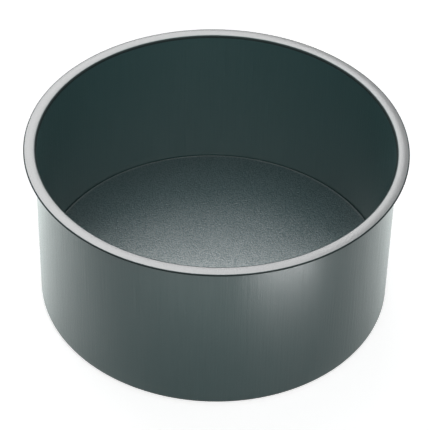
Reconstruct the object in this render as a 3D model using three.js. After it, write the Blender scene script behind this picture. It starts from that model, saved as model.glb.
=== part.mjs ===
// Deep round cake pan with a loose base, in millimetres, +Z up.
// The origin is on the table, under the middle of the pan.
//
// One coated steel sheet makes the whole side. Its top edge is turned outwards as a gently arched rim, and
// its bottom edge is rolled inwards as the foot. The loose base is a disc that lies on the flat top of the
// foot and pushes up and out through the mouth.
import * as THREE from "three";

// The pan
const mouthDiameter = 150; // inside, just under the rim
const height = 77.5; // from the table to the top of the rim
const draft = 0.3; // by how much the inside radius narrows towards the foot
const sheet = 0.8; // thickness of the steel of the side

// The rim
const rimWidth = 5.45; // from the inside face to the outer edge
const rimBend = 0.4; // inside radius of the sheet where it turns from the wall into the rim
const rimSlope = 10; // degrees by which the arched rim falls away at its lip and at its outer edge

// The rolled foot
const footHeight = 8.0; // from the table to the flat top that carries the base
const footBend = 1.6; // inside radius of the bends of the roll
const footLand = 1.6; // width of the flat ring that stands on the table
const footSlit = 0.5; // between the end of the sheet on top of the foot and the wall

// The loose base
const baseThickness = 1.0;
const baseClearance = 0.3; // all round, so that the disc slides freely in the pan
const baseSeatGap = 0.3; // between the disc and the foot under it
const baseEdgeRound = 0.25; // rounding of the edges of the disc

// How finely the round shapes are faceted
const turnSteps = 72; // round the pan
const bendSteps = 3; // in a quarter bend of the sheet
const archSteps = 4; // across the arch of the rim
const edgeSteps = 2; // in the rounding of an edge

// Sizes that follow from those above
const mouthRadius = mouthDiameter / 2;
const lipRadius = rimBend + sheet; // outside radius of the bend between the wall and the rim
const edgeRadius = sheet / 2; // rounding of the outer edge of the rim
const footRadius = footBend + sheet; // outside radius of the bends of the foot
const footWallRadius = mouthRadius - draft; // inside radius of the wall where the foot begins

// The rim is an arch that runs smoothly out of the bend at the lip and into the rounded outer edge.
const slope = THREE.MathUtils.degToRad(rimSlope);
const rounding = (lipRadius + edgeRadius) * (1 - Math.sin(slope)); // part of the width in the two roundings
const archRadius = (rimWidth - rounding) / (2 * Math.sin(slope));
const archCentre = mouthRadius + lipRadius + (archRadius - lipRadius) * Math.sin(slope);
const archCentreZ = height - archRadius;
const lipCentreZ = archCentreZ + (archRadius - lipRadius) * Math.cos(slope);
const archStart = Math.PI / 2 + slope;
const archEnd = Math.PI / 2 - slope;

// The inside radius of the wall at a height.
function insideRadiusAt(z) {
  const share = (z - footRadius) / (lipCentreZ - footRadius);
  return footWallRadius + draft * share;
}

// Points of an arc in the plane of radius and height, with angles in radians from the outward direction.
function arc(centreRadius, centreZ, radius, from, to, steps) {
  const points = [];
  for (let i = 0; i <= steps; i++) {
    const angle = from + ((to - from) * i) / steps;
    const along = centreRadius + radius * Math.cos(angle);
    const up = centreZ + radius * Math.sin(angle);
    points.push(new THREE.Vector2(along, up));
  }
  return points;
}

// One face of the sheet of the side, from its end in the foot to the outer edge of the rim. The face that
// touches the cake has depth 0, and the outside face has the thickness of the sheet as its depth.
function sheetFace(depth) {
  const quarter = Math.PI / 2;
  const footRoll = footBend + depth;
  const outerFootCentre = footWallRadius - footBend;
  const innerFootCentre = outerFootCentre - footLand;
  const footEnd = insideRadiusAt(footHeight) - footSlit;
  const upperBendZ = footHeight - footRadius;
  const lipCentre = mouthRadius + lipRadius;
  return [
    new THREE.Vector2(footEnd, upperBendZ + footRoll),
    ...arc(innerFootCentre, upperBendZ, footRoll, quarter, 2 * quarter, bendSteps),
    ...arc(innerFootCentre, footRadius, footRoll, 2 * quarter, 3 * quarter, bendSteps),
    ...arc(outerFootCentre, footRadius, footRoll, 3 * quarter, 4 * quarter, bendSteps),
    ...arc(lipCentre, lipCentreZ, lipRadius - depth, 2 * quarter, archStart, bendSteps),
    ...arc(archCentre, archCentreZ, archRadius - depth, archStart, archEnd, archSteps).slice(1),
  ];
}

// The rounded outer edge of the rim, from under it to the top, without the ends, which the faces have.
function rimEdge() {
  const middle = archRadius - edgeRadius;
  const along = archCentre + middle * Math.sin(slope);
  const up = archCentreZ + middle * Math.cos(slope);
  return [
    ...arc(along, up, edgeRadius, archEnd - Math.PI, 0, edgeSteps).slice(1),
    ...arc(along, up, edgeRadius, 0, archEnd, edgeSteps).slice(1, -1),
  ];
}

// A solid turned about +Z from an outline of radii and heights.
function turned(outline) {
  return new THREE.LatheGeometry(outline, turnSteps).rotateX(Math.PI / 2);
}

// The side, with its rim and foot, is one closed outline: along one face, back along the other, and round
// the edge of the rim.
function wallGeometry() {
  const cakeFace = sheetFace(0).reverse();
  const outsideFace = sheetFace(sheet);
  return turned([...cakeFace, ...outsideFace, ...rimEdge(), cakeFace[0]]);
}

function baseGeometry() {
  const bottom = footHeight + baseSeatGap;
  const top = bottom + baseThickness;
  const flatRadius = insideRadiusAt(bottom) - baseClearance - baseEdgeRound;
  return turned([
    new THREE.Vector2(0, bottom),
    ...arc(flatRadius, bottom + baseEdgeRound, baseEdgeRound, -Math.PI / 2, 0, edgeSteps),
    ...arc(flatRadius, top - baseEdgeRound, baseEdgeRound, 0, Math.PI / 2, edgeSteps),
    new THREE.Vector2(0, top),
  ]);
}

function piece(name, geometry, material) {
  const mesh = new THREE.Mesh(geometry, material);
  mesh.name = name;
  return mesh;
}

// Dark grey non-stick coating, a little greener on the side than on the base.
const wallCoating = new THREE.MeshStandardMaterial({ color: 0x4d5858, roughness: 0.42, metalness: 0.35 });
const baseCoating = new THREE.MeshStandardMaterial({ color: 0x565e60, roughness: 0.45, metalness: 0.35 });

const pan = new THREE.Group();
pan.add(
  piece("pan_wall", wallGeometry(), wallCoating),
  piece("loose_base", baseGeometry(), baseCoating),
);

export default pan;
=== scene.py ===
"""Looks of a deep round cake pan with a loose base: detailed pieces, coatings, light and camera."""
import math

import bpy
from mathutils import Matrix, Vector


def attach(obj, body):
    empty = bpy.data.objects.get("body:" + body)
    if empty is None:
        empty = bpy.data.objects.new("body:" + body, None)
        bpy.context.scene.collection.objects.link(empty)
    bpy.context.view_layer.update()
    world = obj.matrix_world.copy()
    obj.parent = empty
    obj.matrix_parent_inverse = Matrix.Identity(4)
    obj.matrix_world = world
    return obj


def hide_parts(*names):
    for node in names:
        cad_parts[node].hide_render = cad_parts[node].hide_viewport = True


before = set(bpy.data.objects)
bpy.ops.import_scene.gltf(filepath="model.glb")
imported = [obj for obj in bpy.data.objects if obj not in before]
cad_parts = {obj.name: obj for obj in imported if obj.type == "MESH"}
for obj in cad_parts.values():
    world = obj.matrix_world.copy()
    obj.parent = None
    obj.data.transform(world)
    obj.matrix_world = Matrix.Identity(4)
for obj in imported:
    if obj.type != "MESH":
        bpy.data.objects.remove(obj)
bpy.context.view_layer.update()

MM = 0.001  # the scene is in metres
QUARTER = math.pi / 2  # of a turn

# The pan, as in the CAD model
MOUTH_RADIUS = 75.0 * MM  # inside, just under the rim
HEIGHT = 77.5 * MM  # from the table to the top of the rim
DRAFT = 0.3 * MM  # by how much the inside radius narrows towards the foot
SHEET = 0.8 * MM  # thickness of the steel of the side
RIM_WIDTH = 5.45 * MM  # from the inside face to the outer edge
RIM_BEND = 0.4 * MM  # inside radius of the sheet where it turns from the wall into the rim
RIM_SLOPE = math.radians(10)  # by which the arched rim falls away at its lip and at its outer edge
FOOT_HEIGHT = 8.0 * MM  # from the table to the flat top that carries the base
FOOT_BEND = 1.6 * MM  # inside radius of the bends of the roll
FOOT_LAND = 1.6 * MM  # width of the flat ring that stands on the table
FOOT_SLIT = 0.5 * MM  # between the end of the sheet on top of the foot and the wall
BASE_THICKNESS = 1.0 * MM
BASE_CLEARANCE = 0.3 * MM  # all round the disc
BASE_SEAT_GAP = 0.3 * MM  # between the disc and the foot under it
BASE_EDGE_ROUND = 0.25 * MM  # rounding of the edges of the disc

# How finely the detailed pieces are made
TURN_STEPS = 288  # round the pan
BEND_STEPS = 8  # in a bend of the sheet or a rounded edge
ARCH_STEPS = 12  # across the arch of the rim
WALL_STEPS = 24  # up the wall
SHARP_ANGLE = math.radians(40)  # edges bent by more than this are shaded as sharp

# Sizes that follow from those above
RIM_RADIUS = MOUTH_RADIUS + RIM_WIDTH
LIP_RADIUS = RIM_BEND + SHEET  # outside radius of the bend between the wall and the rim
EDGE_RADIUS = SHEET / 2  # rounding of the outer edge of the rim
FOOT_RADIUS = FOOT_BEND + SHEET  # outside radius of the bends of the foot
FOOT_WALL_RADIUS = MOUTH_RADIUS - DRAFT  # inside radius of the wall where the foot begins
ROUNDING = (LIP_RADIUS + EDGE_RADIUS) * (1 - math.sin(RIM_SLOPE))  # part of the width in the roundings
ARCH_RADIUS = (RIM_WIDTH - ROUNDING) / (2 * math.sin(RIM_SLOPE))
ARCH_CENTRE = MOUTH_RADIUS + LIP_RADIUS + (ARCH_RADIUS - LIP_RADIUS) * math.sin(RIM_SLOPE)
ARCH_CENTRE_Z = HEIGHT - ARCH_RADIUS
LIP_CENTRE_Z = ARCH_CENTRE_Z + (ARCH_RADIUS - LIP_RADIUS) * math.cos(RIM_SLOPE)
ARCH_START = QUARTER + RIM_SLOPE
ARCH_END = QUARTER - RIM_SLOPE


def inside_radius_at(z):
    """The inside radius of the wall at a height."""
    share = (z - FOOT_RADIUS) / (LIP_CENTRE_Z - FOOT_RADIUS)
    return FOOT_WALL_RADIUS + DRAFT * share


BASE_BOTTOM = FOOT_HEIGHT + BASE_SEAT_GAP
BASE_TOP = BASE_BOTTOM + BASE_THICKNESS
BASE_RADIUS = inside_radius_at(BASE_BOTTOM) - BASE_CLEARANCE


def arc(centre_radius, centre_z, radius, start, end, steps):
    """Points of an arc in the plane of radius and height."""
    points = []
    for i in range(steps + 1):
        angle = start + (end - start) * i / steps
        along = centre_radius + radius * math.cos(angle)
        points.append((along, centre_z + radius * math.sin(angle)))
    return points


def straight(start, end, steps):
    """Points between two points, without the two themselves."""
    points = []
    for i in range(1, steps):
        share = i / steps
        points.append(tuple(a + (b - a) * share for a, b in zip(start, end)))
    return points


def sheet_face(depth):
    """One face of the side's sheet, from its end in the foot to the outer edge of the rim.

    The face that touches the cake has depth 0, and the outside face has the thickness of the sheet.
    """
    foot_roll = FOOT_BEND + depth
    outer_foot_centre = FOOT_WALL_RADIUS - FOOT_BEND
    inner_foot_centre = outer_foot_centre - FOOT_LAND
    lip_centre = MOUTH_RADIUS + LIP_RADIUS
    upper_bend_z = FOOT_HEIGHT - FOOT_RADIUS
    foot = [(inside_radius_at(FOOT_HEIGHT) - FOOT_SLIT, upper_bend_z + foot_roll)]
    foot += arc(inner_foot_centre, upper_bend_z, foot_roll, QUARTER, 2 * QUARTER, BEND_STEPS)
    foot += arc(inner_foot_centre, FOOT_RADIUS, foot_roll, 2 * QUARTER, 3 * QUARTER, BEND_STEPS)
    foot += arc(outer_foot_centre, FOOT_RADIUS, foot_roll, 3 * QUARTER, 4 * QUARTER, BEND_STEPS)
    lip = arc(lip_centre, LIP_CENTRE_Z, LIP_RADIUS - depth, 2 * QUARTER, ARCH_START, BEND_STEPS)
    arch = arc(ARCH_CENTRE, ARCH_CENTRE_Z, ARCH_RADIUS - depth, ARCH_START, ARCH_END, ARCH_STEPS)
    wall = straight(foot[-1], lip[0], WALL_STEPS)
    return foot + wall + lip + arch[1:]


def rim_edge():
    """The rounded outer edge of the rim, from under it to the top, without its ends."""
    middle = ARCH_RADIUS - EDGE_RADIUS
    along = ARCH_CENTRE + middle * math.sin(RIM_SLOPE)
    height = ARCH_CENTRE_Z + middle * math.cos(RIM_SLOPE)
    under = arc(along, height, EDGE_RADIUS, ARCH_END - math.pi, 0, BEND_STEPS)
    over = arc(along, height, EDGE_RADIUS, 0, ARCH_END, BEND_STEPS)
    return under[1:] + over[1:-1]


def side_outline():
    """Down the face that touches the cake, back up the outside, and round the edge of the rim."""
    return list(reversed(sheet_face(0))) + sheet_face(SHEET) + rim_edge()


def base_outline():
    """From the middle of the underside to the middle of the top, with a ring half way out on both."""
    flat = BASE_RADIUS - BASE_EDGE_ROUND
    outline = [(0, BASE_BOTTOM), (flat / 2, BASE_BOTTOM)]
    outline += arc(flat, BASE_BOTTOM + BASE_EDGE_ROUND, BASE_EDGE_ROUND, -QUARTER, 0, BEND_STEPS)
    outline += arc(flat, BASE_TOP - BASE_EDGE_ROUND, BASE_EDGE_ROUND, 0, QUARTER, BEND_STEPS)
    outline += [(flat / 2, BASE_TOP), (0, BASE_TOP)]
    return outline


def turned(name, outline, closed):
    """A smooth solid turned about +Z, with a bake map of turn by distance along the outline.

    The outline runs against the clock in the plane of radius and height. It is closed, or it starts and
    ends on the axis.
    """
    rows = []
    vertices = []
    for radius, z in outline:
        if radius == 0:
            rows.append([len(vertices)] * TURN_STEPS)
            vertices.append((0, 0, z))
            continue
        rows.append(list(range(len(vertices), len(vertices) + TURN_STEPS)))
        for step in range(TURN_STEPS):
            angle = 2 * math.pi * step / TURN_STEPS
            vertices.append((radius * math.cos(angle), radius * math.sin(angle), z))
    along = [0.0]
    loop = outline + outline[:1] if closed else outline
    for a, b in zip(loop, loop[1:]):
        along.append(along[-1] + math.dist(a, b))
    if closed:
        rows.append(rows[0])
    widest = 2 * math.pi * max(radius for radius, z in outline)
    faces = []
    maps = []
    for row in range(len(rows) - 1):
        low = along[row] / widest
        high = along[row + 1] / widest
        for step in range(TURN_STEPS):
            following = (step + 1) % TURN_STEPS
            corners = [rows[row][step], rows[row][following], rows[row + 1][following], rows[row + 1][step]]
            left = step / TURN_STEPS
            right = (step + 1) / TURN_STEPS
            spots = [(left, low), (right, low), (right, high), (left, high)]
            kept = [i for i in range(4) if corners[i] not in corners[:i]]
            faces.append([corners[i] for i in kept])
            maps.extend(spots[i] for i in kept)
    mesh = bpy.data.meshes.new(name)
    mesh.from_pydata(vertices, [], faces)
    layer = mesh.uv_layers.new(name="OFBake")
    for loop_map, spot in zip(layer.data, maps):
        loop_map.uv = spot
    mesh.shade_smooth()
    mesh.set_sharp_from_angle(angle=SHARP_ANGLE)
    piece = bpy.data.objects.new(name, mesh)
    bpy.context.scene.collection.objects.link(piece)
    return piece


class Nodes:
    """A short way to write the nodes of a material."""

    def __init__(self, material):
        material.use_nodes = True
        self.tree = material.node_tree
        self.shader = self.tree.nodes["Principled BSDF"]

    def add(self, kind, **settings):
        node = self.tree.nodes.new("ShaderNode" + kind)
        for name, value in settings.items():
            setattr(node, name, value)
        return node

    def link(self, output, socket):
        self.tree.links.new(output, socket)

    def shade(self, name, output):
        """Lets an output drive a socket of the shader."""
        self.link(output, self.shader.inputs[name])

    def split(self, vector):
        node = self.add("SeparateXYZ")
        self.link(vector, node.inputs["Vector"])
        return node.outputs

    def noise(self, vector, scale, detail):
        """Cloudy noise, scale in patches per metre."""
        node = self.add("TexNoise")
        node.inputs["Scale"].default_value = scale
        node.inputs["Detail"].default_value = detail
        self.link(vector, node.inputs["Vector"])
        return node.outputs["Fac"]

    def stretched(self, vector, scale):
        node = self.add("Mapping")
        node.inputs["Scale"].default_value = scale
        self.link(vector, node.inputs["Vector"])
        return node.outputs["Vector"]

    def ranged(self, value, low, high, start, end):
        """start where the value is low, end where it is high, and even between them."""
        node = self.add("MapRange")
        for name, number in (("From Min", low), ("From Max", high), ("To Min", start), ("To Max", end)):
            node.inputs[name].default_value = number
        self.link(value, node.inputs["Value"])
        return node.outputs["Result"]

    def past(self, value, start, fade):
        """0 up to start, and 1 from a fade further on."""
        return self.ranged(value, start, start + fade, 0, 1)

    def maths(self, operation, first, second):
        node = self.add("Math", operation=operation)
        for socket, value in zip(node.inputs, (first, second)):
            if isinstance(value, (int, float)):
                socket.default_value = value
            else:
                self.link(value, socket)
        return node.outputs["Value"]

    def mixed(self, share, first, second):
        node = self.add("Mix", data_type="RGBA")
        self.link(share, node.inputs["Factor"])
        for name, colour in (("A", first), ("B", second)):
            socket = [s for s in node.inputs if s.name == name and s.type == "RGBA"][0]
            if isinstance(colour, tuple):
                socket.default_value = (*colour, 1)
            else:
                self.link(colour, socket)
        return [s for s in node.outputs if s.type == "RGBA"][0]


# Tones of the coating, as linear colours
SIDE_DARK = (0.030, 0.077, 0.077)
SIDE_PALE = (0.039, 0.092, 0.092)
BASE_DARK = (0.015, 0.053, 0.057)
BASE_PALE = (0.024, 0.062, 0.066)
BURNISHED = (0.085, 0.092, 0.094)
# Painted shade: the dark colour put round the rim and along the bottom of the foot, where shade falls
PAINTED_SHADE = (0.012, 0.020, 0.020)
# Painted light: the paler colour along the base's edge, which lightens the shaded gap at the wall
PAINTED_EDGE_LIGHT = (0.115, 0.145, 0.145)

# Its texture: pits all over, marks of drawing on the side, and slow changes of gloss
PITS_PER_METRE = 1650
PIT_DETAIL = 2
MARKS_PER_METRE = 1300
MARK_DETAIL = 4
MARK_STRETCH = 0.03  # scale of the noise along the height, small so that the marks are long
MARK_SHARE = 0.6  # of the side's texture, the rest of which is pits
CLOUDS_PER_METRE = 22
CLOUD_DETAIL = 3
NOISE_LOW = 0.3  # nearly all of the noise lies between these two
NOISE_HIGH = 0.7
SPECK_LOW = 0.45  # a pit is a dull speck up to here, and a bright one from the next value on
SPECK_HIGH = 0.55
SIDE_RELIEF = 0.6 * MM
BASE_RELIEF = 1.2 * MM
RELIEF_STRENGTH = 0.25

# Its gloss
SIDE_IOR = 1.8
SIDE_ROUGHNESS = 0.34
BASE_IOR = 1.82
BASE_ROUGHNESS = 0.31
PIT_ROUGHNESS = 0.02  # by how much the pits change the roughness, up and down
CLOUD_ROUGHNESS = 0.01  # by how much the clouds do
SHADE_ROUGHNESS = 0.35  # added where shade is painted round the rim and at the foot
SHADE_METAL = 0.9  # round the rim, metal that dims the reflections where shade is painted
FILM = 0.7  # clear film on the side
FILM_SWING = 0.4  # share by which the texture changes the film
BURNISHED_FILM = 0.33  # clear film on top of the rim
FILM_ROUGHNESS = 0.22
SPECK_FILM = 1.0  # clear film on the bright specks of the base
SPECK_ROUGHNESS = 0.3

# Where its tones change: depths under the top of the rim, heights above the table, widths of edges
BURNISH_DEPTH = 0.28 * MM
BURNISH_FADE = 0.14 * MM
# The shade painted round the rim reaches down to this depth
LIP_DEPTH = 1.4 * MM
LIP_FADE = 0.4 * MM
# Painted shade at the bottom of the foot, up to this height
FOOT_LINE = 0.7 * MM
FOOT_LINE_FADE = 0.9 * MM
# Painted shade on the outer edge of the rim, this wide
RIM_EDGE_WIDTH = 0.6 * MM
# Painted light along the edge of the base, this wide
BASE_EDGE_WIDTH = 1.1 * MM
EDGE_FADE = 0.3 * MM


class Coating(Nodes):
    """A dark non-stick coating on pressed steel."""

    def __init__(self, name, ior, roughness):
        self.material = bpy.data.materials.new(name)
        super().__init__(self.material)
        self.shader.inputs["IOR"].default_value = ior
        self.place = self.add("TexCoord").outputs["Object"]
        self.height = self.split(self.place)["Z"]
        across = self.add("VectorMath", operation="LENGTH")
        self.link(self.stretched(self.place, (1, 1, 0)), across.inputs[0])
        self.radius = across.outputs["Value"]
        self.pits = self.noise(self.place, PITS_PER_METRE, PIT_DETAIL)
        clouds = self.noise(self.place, CLOUDS_PER_METRE, CLOUD_DETAIL)
        patchy = self.around(clouds, roughness, CLOUD_ROUGHNESS)
        self.roughness = self.maths("ADD", patchy, self.around(self.pits, 0, PIT_ROUGHNESS))

    def around(self, noise, middle, swing):
        """Noise turned into a number that swings about a middle."""
        return self.ranged(noise, NOISE_LOW, NOISE_HIGH, middle - swing, middle + swing)

    def textured(self, texture, relief, dark, pale):
        """Gives the surface the relief of a texture, and returns the texture's colour."""
        node = self.add("Bump")
        node.inputs["Strength"].default_value = RELIEF_STRENGTH
        node.inputs["Distance"].default_value = relief
        self.link(texture, node.inputs["Height"])
        self.shade("Normal", node.outputs["Normal"])
        return self.mixed(self.ranged(texture, NOISE_LOW, NOISE_HIGH, 0, 1), dark, pale)


def side_coating():
    """Drawn upwards, burnished on top of the rim, and with shade painted dark and matt round the rim and at
    the foot.
    """
    coat = Coating("side_coating", SIDE_IOR, SIDE_ROUGHNESS)
    marks = coat.noise(coat.stretched(coat.place, (1, 1, MARK_STRETCH)), MARKS_PER_METRE, MARK_DETAIL)
    drawn = coat.maths("MULTIPLY", marks, MARK_SHARE)
    pitted = coat.maths("MULTIPLY", coat.pits, 1 - MARK_SHARE)
    texture = coat.maths("ADD", drawn, pitted)
    plain = coat.textured(texture, SIDE_RELIEF, SIDE_DARK, SIDE_PALE)
    # Painted shade: the lip, the outer edge and underside of the rim, and the bottom of the foot get a dark
    # colour, metal that dims their reflections, more roughness and no film
    rim = coat.past(coat.height, HEIGHT - LIP_DEPTH, LIP_FADE)
    rim_top = coat.past(coat.height, HEIGHT - BURNISH_DEPTH, BURNISH_FADE)
    outer_edge = coat.past(coat.radius, RIM_RADIUS - RIM_EDGE_WIDTH, EDGE_FADE)
    burnished = coat.maths("MAXIMUM", coat.maths("SUBTRACT", rim_top, outer_edge), 0)
    shaded_rim = coat.maths("SUBTRACT", rim, burnished)
    painted_foot_shade = coat.ranged(coat.height, FOOT_LINE, FOOT_LINE + FOOT_LINE_FADE, 1, 0)
    painted_shade = coat.maths("MAXIMUM", shaded_rim, painted_foot_shade)
    coat.shade("Base Color", coat.mixed(burnished, coat.mixed(painted_shade, plain, PAINTED_SHADE), BURNISHED))
    coat.shade("Metallic", coat.maths("MULTIPLY", shaded_rim, SHADE_METAL))
    duller = coat.maths("MULTIPLY", painted_shade, SHADE_ROUGHNESS)
    coat.shade("Roughness", coat.maths("ADD", coat.roughness, duller))
    cover = coat.ranged(coat.maths("MAXIMUM", rim, painted_foot_shade), 0, 1, FILM, 0)
    film = coat.maths("MULTIPLY", cover, coat.around(texture, 1, FILM_SWING))
    coat.shade("Coat Weight", coat.maths("ADD", film, coat.maths("MULTIPLY", burnished, BURNISHED_FILM)))
    coat.shader.inputs["Coat Roughness"].default_value = FILM_ROUGHNESS
    return coat.material


def base_coating():
    """Pitted all over, with light painted paler along the edge."""
    coat = Coating("base_coating", BASE_IOR, BASE_ROUGHNESS)
    plain = coat.textured(coat.pits, BASE_RELIEF, BASE_DARK, BASE_PALE)
    # Painted light: the edge of the disc is coloured paler, which lightens the shaded gap between it and
    # the wall
    edge = coat.past(coat.radius, BASE_RADIUS - BASE_EDGE_WIDTH, EDGE_FADE)
    coat.shade("Base Color", coat.mixed(edge, plain, PAINTED_EDGE_LIGHT))
    coat.shade("Roughness", coat.roughness)
    coat.shade("Coat Weight", coat.ranged(coat.pits, SPECK_LOW, SPECK_HIGH, 0, SPECK_FILM))
    coat.shader.inputs["Coat Roughness"].default_value = SPECK_ROUGHNESS
    return coat.material


# The two pieces
side = turned("side", side_outline(), True)
side.data.materials.append(side_coating())
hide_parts("pan_wall")
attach(side, "side")

base = turned("base", base_outline(), False)
base.data.materials.append(base_coating())
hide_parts("loose_base")
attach(base, "base")

# The stage: a pale floor that keeps the shadow, and white surroundings
FLOOR_HALF = 3.0  # half its width, in metres
FLOOR_PAINT = (0.7, 0.7, 0.7)
FLOOR_BOUNCE = (0.3, 0.3, 0.3)  # for the light that it throws back at the pan
FLOOR_WHITENESS = 0.66  # glow that lifts the lit paint to white for the camera
WHITE = (1.0, 1.0, 1.0)
REFLECTED_WHITE = (0.91, 1.0, 0.975)

# How the floor shines in reflections: up to white beside the pan, and less in front of it and behind it.
# Places are in metres along the floor, from the middle of the pan.
BESIDE_START = -0.075  # in front of this line the floor beside the pan is dark
BESIDE_END = 0.06  # behind this line it is white
BESIDE_LEAN = -0.17  # by how much the two lines turn about the pan
FAR_START = 0.11  # in front and behind, the floor changes from here
FAR_END = 0.165  # to here
FAR_SHINE = 0.4

# The white surroundings, as light on the pan and as they are seen
WORLD_LIGHT = 0.36
WORLD_SEEN = 1.0


def floor_material():
    """Pale paint that the camera sees as white, with its own brightness in reflections."""
    material = bpy.data.materials.new("floor_paint")
    nodes = Nodes(material)
    path = nodes.add("LightPath").outputs
    nodes.shade("Base Color", nodes.mixed(path["Is Diffuse Ray"], FLOOR_PAINT, FLOOR_BOUNCE))
    nodes.shader.inputs["Roughness"].default_value = 1
    nodes.shader.inputs["Specular IOR Level"].default_value = 0
    reflected = nodes.maths("MAXIMUM", path["Is Glossy Ray"], path["Is Transmission Ray"])
    nodes.shade("Emission Color", nodes.mixed(reflected, WHITE, REFLECTED_WHITE))
    place = nodes.split(nodes.add("TexCoord").outputs["Object"])
    leaning = nodes.maths("ADD", place["Y"], nodes.maths("MULTIPLY", place["X"], BESIDE_LEAN))
    beside = nodes.ranged(leaning, BESIDE_START, BESIDE_END, 0, 1)
    away = nodes.maths("MAXIMUM", place["Y"], nodes.maths("MULTIPLY", place["Y"], -1))
    near = nodes.ranged(away, FAR_START, FAR_END, 1, 0)
    far = nodes.ranged(away, FAR_START, FAR_END, 0, FAR_SHINE)
    shine = nodes.maths("ADD", nodes.maths("MULTIPLY", beside, near), far)
    reflected_shine = nodes.maths("MULTIPLY", reflected, shine)
    to_camera = nodes.maths("MULTIPLY", path["Is Camera Ray"], FLOOR_WHITENESS)
    nodes.shade("Emission Strength", nodes.maths("ADD", to_camera, reflected_shine))
    return material


floor_mesh = bpy.data.meshes.new("floor")
corners = [(-1, -1), (1, -1), (1, 1), (-1, 1)]
floor_mesh.from_pydata([(x * FLOOR_HALF, y * FLOOR_HALF, 0) for x, y in corners], [], [(0, 1, 2, 3)])
floor_mesh.materials.append(floor_material())
floor = bpy.data.objects.new("floor", floor_mesh)
bpy.context.scene.collection.objects.link(floor)


class WorldNodes(Nodes):
    """The same for the nodes of the world."""

    def __init__(self, world):
        world.use_nodes = True
        self.tree = world.node_tree
        self.shader = self.tree.nodes["Background"]


world = bpy.data.worlds.new("studio")
bpy.context.scene.world = world
surroundings = WorldNodes(world)
surroundings.shader.inputs["Color"].default_value = (*WHITE, 1)
rays = surroundings.add("LightPath").outputs
direct = surroundings.maths("MAXIMUM", rays["Is Camera Ray"], rays["Is Glossy Ray"])
seen = surroundings.maths("MAXIMUM", direct, rays["Is Transmission Ray"])
surroundings.shade("Strength", surroundings.ranged(seen, 0, 1, WORLD_LIGHT, WORLD_SEEN))


def softbox(name, place, target, size, radiance, gloss):
    """A rectangular lamp whose face shines with a radiance, seen only in gloss or only as diffuse light."""
    width, depth = size
    lamp = bpy.data.lights.new(name, "AREA")
    lamp.shape = "RECTANGLE"
    lamp.size = width
    lamp.size_y = depth
    lamp.energy = radiance * math.pi * width * depth
    holder = bpy.data.objects.new(name, lamp)
    holder.location = place
    holder.rotation_mode = "QUATERNION"
    holder.rotation_quaternion = (Vector(target) - Vector(place)).to_track_quat("-Z", "Y")
    holder.visible_camera = False
    holder.visible_diffuse = not gloss
    holder.visible_glossy = gloss
    bpy.context.scene.collection.objects.link(holder)


# The lamps, in metres: a large one behind, on the left, a soft one in front, one overhead, and a small low
# one whose reflection is the highlight on the front of the side
PAN_MIDDLE = (0, 0, 0.06)
KEY_PLACE = (-0.27, 0.829, 1.274)
KEY_SIZE = (1.15, 1.66)
FILL_PLACE = (0.1, -1.1, 1.0)
FILL_SIZE = (0.9, 0.9)
TOP_PLACE = (0, -0.26, 1.54)
TOP_SIZE = (1.2, 1.1)
LOW_PLACE = (0.095, -0.145, 0.008)
LOW_TARGET = (0.027, -0.07, 0.068)
LOW_SIZE = (0.1, 0.025)

softbox("key_gloss", KEY_PLACE, PAN_MIDDLE, KEY_SIZE, radiance=4.45, gloss=True)
softbox("key_light", KEY_PLACE, PAN_MIDDLE, KEY_SIZE, radiance=2.5, gloss=False)
softbox("fill_light", FILL_PLACE, PAN_MIDDLE, FILL_SIZE, radiance=2.0, gloss=False)
softbox("top_light", TOP_PLACE, PAN_MIDDLE, TOP_SIZE, radiance=4.0, gloss=True)
softbox("low_light", LOW_PLACE, LOW_TARGET, LOW_SIZE, radiance=12.5, gloss=True)

# The camera, at the photo's angle: a long lens from the front, above, a little tilted
CAMERA_PLACE = Vector((0, -0.6873, 0.6425))
CAMERA_AIM = Vector((0, 0, 0.0715))
CAMERA_PITCH = -0.0283  # in radians, from the direction to the aim
CAMERA_ROLL = 0.0236  # in radians
CAMERA_LENS = 178.7  # focal length in millimetres

view = (CAMERA_AIM - CAMERA_PLACE).normalized()
right = view.cross(Vector((0, 0, 1))).normalized()
up = right.cross(view)
ahead = view * math.cos(CAMERA_PITCH) + up * math.sin(CAMERA_PITCH)
level_up = right.cross(ahead)
tilted_right = right * math.cos(CAMERA_ROLL) + level_up * math.sin(CAMERA_ROLL)
tilted_up = level_up * math.cos(CAMERA_ROLL) - right * math.sin(CAMERA_ROLL)
axes = Matrix((tilted_right, tilted_up, -ahead)).transposed()
camera_data = bpy.data.cameras.new("camera")
camera_data.lens = CAMERA_LENS
camera = bpy.data.objects.new("camera", camera_data)
camera.matrix_world = Matrix.Translation(CAMERA_PLACE) @ axes.to_4x4()
bpy.context.scene.collection.objects.link(camera)
bpy.context.scene.camera = camera

bpy.context.scene.view_settings.view_transform = "Standard"
